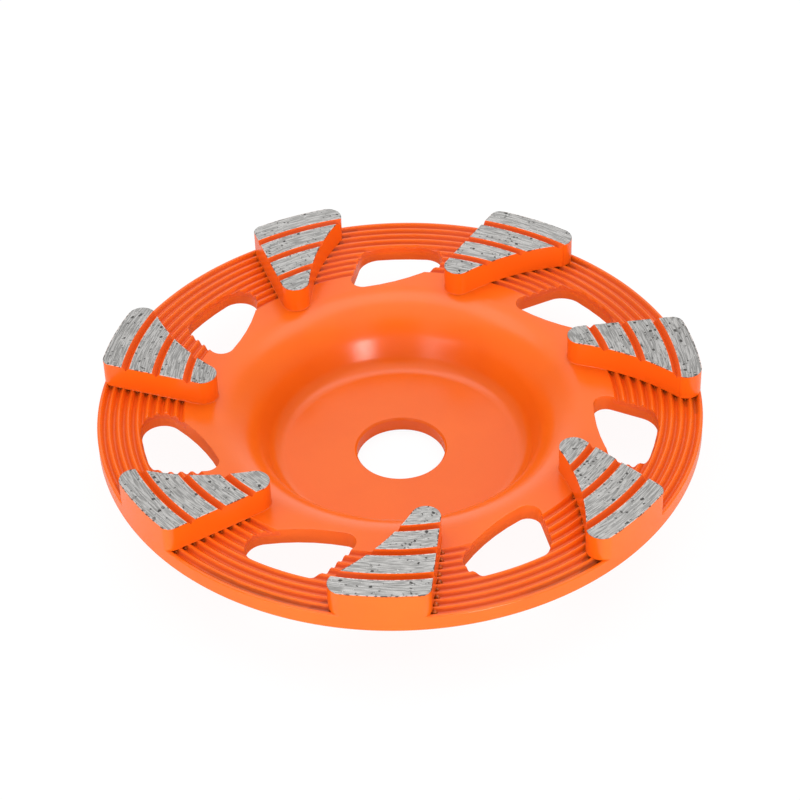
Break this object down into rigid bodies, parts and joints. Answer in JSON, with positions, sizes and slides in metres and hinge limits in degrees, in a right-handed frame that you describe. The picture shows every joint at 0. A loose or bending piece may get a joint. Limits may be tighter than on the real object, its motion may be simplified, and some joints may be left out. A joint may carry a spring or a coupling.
{
  "type": "diamond cup grinding wheel",
  "caption": "Steel cup wheel with a grooved rim, vent openings and curved diamond segments for grinding concrete.",
  "frame": {"origin": "centre of the bore in the plane of the hub's back face", "axes": "+Z along the bore axis towards the grinding face, -Y through the first segment"},
  "size_m": [0.15, 0.15, 0.0258],
  "materials": {
    "orange_paint": "semi-gloss orange enamel over turned steel",
    "diamond_metal": "bare ground metal bond with dark diamond specks on top, orange enamel on the walls"
  },
  "bodies": {
    "root": {"steel_core": "orange_paint", "diamond_segment_1": "diamond_metal", "diamond_segment_2": "diamond_metal", "diamond_segment_3": "diamond_metal", "diamond_segment_4": "diamond_metal", "diamond_segment_5": "diamond_metal", "diamond_segment_6": "diamond_metal", "diamond_segment_7": "diamond_metal"}
  },
  "joints": []
}
